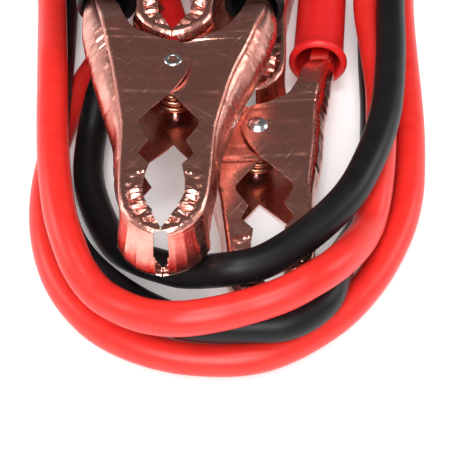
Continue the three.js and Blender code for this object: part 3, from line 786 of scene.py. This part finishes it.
# How far each clamp's side walls are pressed out: cable jaw, free jaw
jawWalls = {"a": ("pressed", "pressed"), "b": ("flatter", "plain"), "c": ("plain", "plain"),
            "d": ("plain", "plain")}
patterns = {
    "cable_jaw_pressed": pressHalf("cableJawPressed", False, 1.0, 0.0),
    "free_jaw_pressed": pressHalf("freeJawPressed", True, 0.72, 1.5),
    "cable_jaw_flatter": pressHalf("cableJawFlatter", False, 0.55, -1.2),
    "cable_jaw_plain": pressHalf("cableJawPlain", False, 0.0, 0.0),
    "free_jaw_plain": pressHalf("freeJawPlain", True, 0.0, 0.0),
    "cable_grip": makeGrip(True),
    "free_grip": makeGrip(False),
    "rivet": makeRivet(),
    "spring": makeSpring(),
}
for part, pattern in patterns.items():
    print("made", part, len(pattern.data.polygons), "faces")

for key, place in clampPlaces.items():
    free = f"clamp_{key}_free"
    gripLook = place["grip"] + "Grip"
    gripSlot = place["grip"] + "_grip"
    for part, look, slot, body, side in (
        ("cable_jaw", "copper", "copper_plate", "root", None),
        ("free_jaw", "copper", "copper_plate", free, None),
        ("cable_grip", gripLook, gripSlot, "root", -1),
        ("free_grip", gripLook, gripSlot, free, 1),
        ("rivet", "zinc", "zinc", "root", None),
        ("spring", "springWire", "spring_wire", "root", None),
    ):
        node = f"clamp_{key}_{part}"
        kind = part
        if look == "copper":
            kind += "_" + jawWalls[key][0 if part == "cable_jaw" else 1]
        piece = copyTo(key, patterns[kind], node + "_finished", side)
        dress(piece, look, body, [node])
    print("clamp", key, "placed")

for pattern in patterns.values():
    bpy.data.objects.remove(pattern, do_unlink=True)

# Straps
strapPlaces = {
    "left": {"from": -63.6, "to": -36.7, "top": 18.5, "y": 89.0},
    "right": {"from": 35.6, "to": 63.4, "top": 18.5, "y": 89.0},
}
strapSize = {"width": 16.0, "thick": 1.2, "corner": 4.0, "lift": 0.05, "overlap": 17.0,
             "cornerSteps": 6, "widthSteps": 8}


def strapPath(place):
    # middle line of the band, once round and on over its own start
    half = strapSize["thick"] / 2
    left, right = place["from"] - half, place["to"] + half
    bottom, top = strapSize["lift"] + half, place["top"] + half
    corner = strapSize["corner"] + half
    startX = left + corner + 3
    points = [(startX, top)]
    for cx, cz, first in ((right - corner, top - corner, 90), (right - corner, bottom + corner, 0),
                          (left + corner, bottom + corner, -90), (left + corner, top - corner, -180)):
        for k in range(strapSize["cornerSteps"] + 1):
            angle = math.radians(first - 90 * k / strapSize["cornerSteps"])
            points.append((cx + corner * math.cos(angle), cz + corner * math.sin(angle)))
    lap = strapSize["thick"] + 0.05
    points[-1] = (points[-1][0], points[-1][1] + 0.35)
    points += [(startX - 1.5, top + lap * 0.75), (startX + 1.5, top + lap),
               (startX + strapSize["overlap"], top + lap)]
    return points


def makeStrapLoop(side):
    place = strapPlaces[side]
    path = strapPath(place)
    deselectAll()
    bpy.ops.mesh.primitive_plane_add(size=0.001)
    piece = bpy.context.object
    piece.name = piece.data.name = f"strap_{side}_woven"
    bpy.ops.object.mode_set(mode="EDIT")
    bpy.ops.mesh.select_mode(type="VERT")
    bpy.ops.mesh.select_all(action="SELECT")
    bpy.ops.mesh.merge(type="CENTER")
    spots = [Vector((x, place["y"] - strapSize["width"] / 2, z)) * mm for x, z in path]
    bpy.ops.transform.translate(value=spots[0])
    for before, after in zip(spots, spots[1:]):
        bpy.ops.mesh.extrude_vertices_move(TRANSFORM_OT_translate={"value": after - before})
    bpy.ops.mesh.select_all(action="SELECT")
    for _ in range(strapSize["widthSteps"]):
        step = strapSize["width"] / strapSize["widthSteps"] * mm
        bpy.ops.mesh.extrude_edges_move(TRANSFORM_OT_translate={"value": (0, step, 0)})
    bpy.ops.mesh.select_all(action="SELECT")
    bpy.ops.mesh.normals_make_consistent(inside=False)
    bpy.ops.object.mode_set(mode="OBJECT")
    addModifier(piece, "SOLIDIFY", thickness=strapSize["thick"] * mm * 0.96, offset=0,
                use_even_offset=True)
    addModifier(piece, "BEVEL", width=0.0003, segments=2, limit_method="ANGLE",
                angle_limit=math.radians(60))
    smoothShade(piece, 40)
    dress(piece, "strap", "root", [f"strap_{side}"])


makeStrapLoop("left")
makeStrapLoop("right")
print("straps made")

# Floor and studio light
deselectAll()
bpy.ops.mesh.primitive_plane_add(size=6.0, location=(0, 0, -0.0002))
floor = bpy.context.object
floor.name = "studioFloor"
floorMaterial, floorTree, floorShader = newMaterial("paleFloor", Roughness=0.7)
floorShader.inputs["Base Color"].default_value = (0.90, 0.90, 0.90, 1)
floorShader.inputs["Emission Color"].default_value = (1, 1, 1, 1)
floorShader.inputs["Emission Strength"].default_value = 0.18
floor.data.materials.append(floorMaterial)

lamps = {
    "overhead": {"place": (0.0, -0.16, 1.1), "target": (0, -0.02, 0), "size": (0.4, 0.3), "power": 4.4},
    "left": {"place": (-0.95, 0.15, 0.5), "target": (0, -0.02, 0), "size": (0.5, 0.5), "power": 3.4},
    "right": {"place": (0.95, 0.25, 0.5), "target": (0, -0.02, 0), "size": (0.5, 0.5), "power": 3.0},
    "front": {"place": (-0.05, -0.66, 0.66), "target": (0, -0.05, 0), "size": (0.6, 0.5), "power": 7.5},
}
for name, lamp in lamps.items():
    light = bpy.data.lights.new(name + "Lamp", "AREA")
    light.shape = "RECTANGLE"
    light.size, light.size_y = lamp["size"]
    light.energy = lamp["power"]
    holder = bpy.data.objects.new(name + "Lamp", light)
    holder.location = lamp["place"]
    away = Vector(lamp["target"]) - Vector(lamp["place"])
    holder.rotation_euler = away.to_track_quat("-Z", "Y").to_euler()
    bpy.context.scene.collection.objects.link(holder)

room = {"bright": 0.36, "dark": 0.13, "towards": (0.0, 0.78, 0.626), "inner": 0.88, "outer": 0.55,
        "tint": (1.0, 0.93, 0.92)}
world = bpy.data.worlds.new("studioRoom")
world.use_nodes = True
worldTree = world.node_tree
worldShader = worldTree.nodes["Background"]
worldShader.inputs["Color"].default_value = (*room["tint"], 1)
direction = addNode(worldTree, "ShaderNodeTexCoord")
facing = addNode(worldTree, "ShaderNodeVectorMath", {1: room["towards"]}, operation="DOT_PRODUCT")
worldTree.links.new(direction.outputs["Generated"], facing.inputs[0])
fade = addNode(worldTree, "ShaderNodeMapRange", {"From Min": room["outer"], "From Max": room["inner"],
               "To Min": room["bright"], "To Max": room["dark"]}, interpolation_type="SMOOTHSTEP")
worldTree.links.new(facing.outputs["Value"], fade.inputs["Value"])
worldTree.links.new(fade.outputs["Result"], worldShader.inputs["Strength"])
bpy.context.scene.world = world
bpy.context.scene.view_settings.view_transform = "Standard"
print("studio lit")
